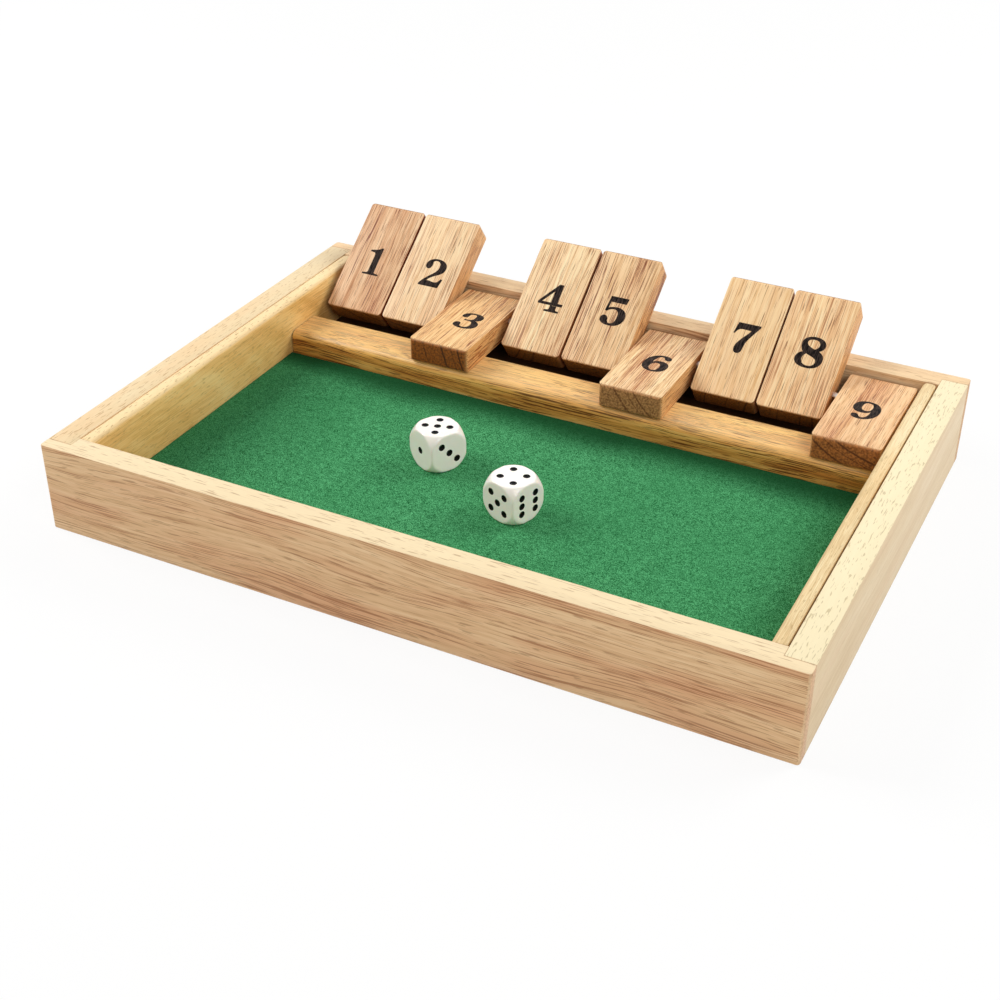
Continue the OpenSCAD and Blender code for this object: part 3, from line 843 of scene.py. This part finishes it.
ink = inkMaterial()
blank = buildBlank()
joints = {joint["child"]: joint for joint in frame["joints"]}
for value in range(1, 10):
    node = f"tile_{value}"
    low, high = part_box(node)
    joint = joints[node]
    leaning = joint["range_deg"][1] > 0
    angle = math.pi - math.radians(joint["range_deg"][1]) if leaning else math.pi
    place = Vector(((low.x + high.x) / 2, joint["pos_m"][1], joint["pos_m"][2]))
    tile = blank.copy()
    tile.data = blank.data.copy()
    tile.name = node + "_wood"
    bpy.context.scene.collection.objects.link(tile)
    figures = buildNumber(value)
    for piece in (tile, figures):
        piece.location = place
        piece.rotation_euler = (angle, 0, 0)
        settle(piece)
    along = (0, math.cos(angle), math.sin(angle))
    markFaces(tile, along, (1, 0, 0))
    look = {**tileLook, "turn": (-math.degrees(angle), 0, -90), "centre": place * 1000,
            "seed": (3.7 * value, 5.3 * value, 7.1 * value), **tileLooks[value]}
    finishPiece(tile, woodMaterial(f"tile_{value}_hardwood", look), node, [node])
    finishPiece(figures, ink, node, [])
bpy.data.objects.remove(blank)
print("tiles and numbers done")

dieShape = {
    "wide": 16.0 * mm, "ball": 1.42, "voxel": 0.28 * mm, "softening": 14, "pipPitch": 3.4 * mm,
    "pipRadius": 1.4 * mm, "pipDeep": 0.5 * mm, "dark": "#f9f3ea", "pale": "#fffaf3",
    "pipDark": "#060606", "pipPale": "#101010",
}


def dieMaterial():
    # Cast acrylic, tumbled: ivory white, glossy, with a little light passing into the corners.
    made, tree = newMaterial("ivory_acrylic")
    size = objectPlace(tree, toMillimetres)
    cloud = addNode(tree, "TexNoise", {"Scale": 0.2, "Detail": 2.0}, {"Vector": size.outputs[0]})
    shade = addNode(tree, "ValToRGB", {}, {0: cloud.outputs["Fac"]})
    shade.color_ramp.elements[0].color = tone(dieShape["dark"])
    shade.color_ramp.elements[1].color = tone(dieShape["pale"])
    gloss = addNode(tree, "MapRange", {3: 0.12, 4: 0.22}, {0: cloud.outputs["Fac"]})
    shader = addNode(tree, "BsdfPrincipled", {"IOR": 1.49, "Subsurface Weight": 0.15,
                                              "Subsurface Scale": 2 * mm,
                                              "Coat Weight": 0.3, "Coat Roughness": 0.06},
                     {"Base Color": shade.outputs[0], "Roughness": gloss.outputs[0]})
    addNode(tree, "OutputMaterial", {}, {"Surface": shader.outputs[0]})
    return made


def pipMaterial():
    # Black enamel wiped into the dimples.
    made, tree = newMaterial("pip_enamel")
    size = objectPlace(tree, toMillimetres)
    grit = addNode(tree, "TexNoise", {"Scale": 1.5, "Detail": 2.0}, {"Vector": size.outputs[0]})
    shade = addNode(tree, "ValToRGB", {}, {0: grit.outputs["Fac"]})
    shade.color_ramp.elements[0].color = tone(dieShape["pipDark"])
    shade.color_ramp.elements[1].color = tone(dieShape["pipPale"])
    gloss = addNode(tree, "MapRange", {3: 0.2, 4: 0.4}, {0: grit.outputs["Fac"]})
    shader = addNode(tree, "BsdfPrincipled", {"IOR": 1.5, "Specular IOR Level": 0.1},
                     {"Base Color": shade.outputs[0], "Roughness": gloss.outputs[0]})
    addNode(tree, "OutputMaterial", {}, {"Surface": shader.outputs[0]})
    return made


pipPlaces = {
    1: [(0, 0)], 2: [(-1, 1), (1, -1)], 3: [(0, 0), (-1, 1), (1, -1)],
    4: [(-1, 1), (1, -1), (1, 1), (-1, -1)], 5: [(0, 0), (-1, 1), (1, -1), (1, 1), (-1, -1)],
    6: [(-1, 1), (1, -1), (1, 1), (-1, -1), (-1, 0), (1, 0)],
}


def buildDie(name, node, turn, faces):
    # faces are the numbers on the top, left front and right front; opposite faces add up to 7
    half = dieShape["wide"] / 2
    piece = addBlock(name, (-half, -half, -half), (half, half, half))
    useNone()
    bpy.ops.mesh.primitive_uv_sphere_add(segments=96, ring_count=48, radius=half * dieShape["ball"])
    combine(piece, settle(bpy.context.object), "INTERSECT")
    applyModifier(piece, "REMESH", mode="VOXEL", voxel_size=dieShape["voxel"])
    applyModifier(piece, "SMOOTH", factor=0.5, iterations=dieShape["softening"])
    piece.data.materials.append(ivory)
    piece.data.materials.append(enamel)
    top, leftFront, rightFront = faces
    quarter = math.pi / 2
    sides = [(top, (0, 0, 0)), (7 - top, (2 * quarter, 0, 0)), (leftFront, (quarter, 0, 0)),
             (7 - leftFront, (-quarter, 0, 0)), (rightFront, (quarter, 0, quarter)),
             (7 - rightFront, (-quarter, 0, quarter))]
    ballRadius = (dieShape["pipRadius"] ** 2 + dieShape["pipDeep"] ** 2) / (2 * dieShape["pipDeep"])
    ballHeight = half - dieShape["pipDeep"] + ballRadius
    cutters = []
    for number, angles in sides:
        turnFace = Euler(angles).to_matrix()
        for x, y in pipPlaces[number]:
            spot = Vector((x * dieShape["pipPitch"], y * dieShape["pipPitch"], ballHeight))
            useNone()
            bpy.ops.mesh.primitive_uv_sphere_add(segments=40, ring_count=20, radius=ballRadius,
                                                 location=turnFace @ spot)
            cutter = settle(bpy.context.object)
            cutter.data.materials.append(ivory)
            cutter.data.materials.append(enamel)
            for face in cutter.data.polygons:
                face.material_index = 1
            cutters.append(cutter)
    useOnly(cutters[0])
    for cutter in cutters:
        cutter.select_set(True)
    bpy.ops.object.join()
    combine(piece, cutters[0], "DIFFERENCE", material_mode="INDEX")
    smooth(piece, 40)
    low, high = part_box(node)
    piece.location = (low + high) / 2
    piece.rotation_euler = (0, 0, math.radians(turn))
    settle(piece)
    finishPiece(piece, None, node, [node])


ivory, enamel = dieMaterial(), pipMaterial()
buildDie("left_die", "die_1", -27.9, (5, 1, 3))
buildDie("right_die", "die_2", -19.3, (4, 5, 6))
print("dice done")


def whiteRays(tree):
    # 1 where the camera, a reflection or a view through glass should meet plain white
    path = addNode(tree, "LightPath")
    seen = addNode(tree, "Math", {}, {0: path.outputs["Is Camera Ray"], 1: path.outputs["Is Glossy Ray"]},
                   operation="MAXIMUM")
    through = addNode(tree, "Math", {}, {0: seen.outputs[0], 1: path.outputs["Is Transmission Ray"]},
                      operation="MAXIMUM")
    return through.outputs[0]


floorShape = {"wide": 12, "below": 0.3 * mm, "nearRim": 0.4, "farRim": 1.4}


def floorMaterial():
    # Plain white paper sweep: shows as white, and keeps a faint shadow of the game, but none far off.
    made, tree = newMaterial("white_sweep")
    place = addNode(tree, "TexCoord")
    away = addNode(tree, "VectorMath", {}, {0: place.outputs["Object"]}, operation="LENGTH")
    glowing = addNode(tree, "MapRange", {1: floorShape["nearRim"], 2: floorShape["farRim"],
                                         3: 0.88, 4: 1.0}, {0: away.outputs["Value"]})
    part = addNode(tree, "Math", {}, {0: whiteRays(tree), 1: glowing.outputs[0]}, operation="MULTIPLY")
    paper = addNode(tree, "BsdfDiffuse", {"Color": (0.9, 0.9, 0.9, 1)})
    glow = addNode(tree, "Emission", {"Color": (1, 1, 1, 1), "Strength": 1.0})
    mix = addNode(tree, "MixShader", {}, {0: part.outputs[0], 1: paper.outputs[0], 2: glow.outputs[0]})
    addNode(tree, "OutputMaterial", {}, {"Surface": mix.outputs[0]})
    return made


useNone()
bpy.ops.mesh.primitive_plane_add(size=floorShape["wide"], location=(0, 0, -floorShape["below"]))
floor = bpy.context.object
floor.name = "floor_sweep"
floor.data.materials.append(floorMaterial())
floor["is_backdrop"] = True

world = bpy.data.worlds.new("studio")
bpy.context.scene.world = world
world.use_nodes = True
world.node_tree.nodes.clear()
skyLight = addNode(world.node_tree, "MapRange", {3: 0.3, 4: 1.0}, {0: whiteRays(world.node_tree)})
sky = addNode(world.node_tree, "Background", {"Color": (1, 1, 1, 1)}, {"Strength": skyLight.outputs[0]})
addNode(world.node_tree, "OutputWorld", {}, {"Surface": sky.outputs[0]})

# softboxes all round, aimed at the middle: each one's place and its power in watts
lampShape = {"wide": 0.6, "colour": (1.0, 0.99, 0.97)}
lamps = {
    "back_right_softbox": ((0.724, 0.724, 0.80), 8.2), "back_softbox": ((-0.23, 1.0, 0.80), 1.2),
    "left_softbox": ((-1.017, -0.125, 0.80), 10.8), "front_right_softbox": ((0.724, -0.724, 0.80), 4.7),
}
for name, (place, power) in lamps.items():
    lamp = bpy.data.lights.new(name, "AREA")
    lamp.shape = "SQUARE"
    lamp.size = lampShape["wide"]
    lamp.energy = power
    lamp.color = lampShape["colour"]
    holder = bpy.data.objects.new(name, lamp)
    bpy.context.scene.collection.objects.link(holder)
    holder.location = place
    holder.rotation_euler = (-Vector(place)).to_track_quat("-Z", "Y").to_euler()

# the camera of the photograph, solved from the corners of the case
cameraPlace = {"focal": 57.166, "at": (0.228692, -0.476195, 0.333444)}
cameraRight = Vector((0.89209339, 0.45184204, 0.0028555))
cameraDown = Vector((0.2467329, -0.48182291, -0.84081482))
cameraAhead = Vector((-0.37853964, 0.75078989, -0.54131533))
camera = bpy.data.cameras.new("photo_camera")
camera.lens = cameraPlace["focal"]
camera.sensor_width = 36
camera.clip_start = 0.01
cameraHolder = bpy.data.objects.new("photo_camera", camera)
bpy.context.scene.collection.objects.link(cameraHolder)
turned = Matrix((cameraRight, -cameraDown, -cameraAhead)).transposed()
cameraHolder.matrix_world = Matrix.Translation(cameraPlace["at"]) @ turned.to_4x4()
bpy.context.scene.camera = cameraHolder
bpy.context.scene.view_settings.view_transform = "Standard"
print("stage done")

low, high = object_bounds()
print("visual", [round(v * 1000, 2) for v in (*low, *high)])
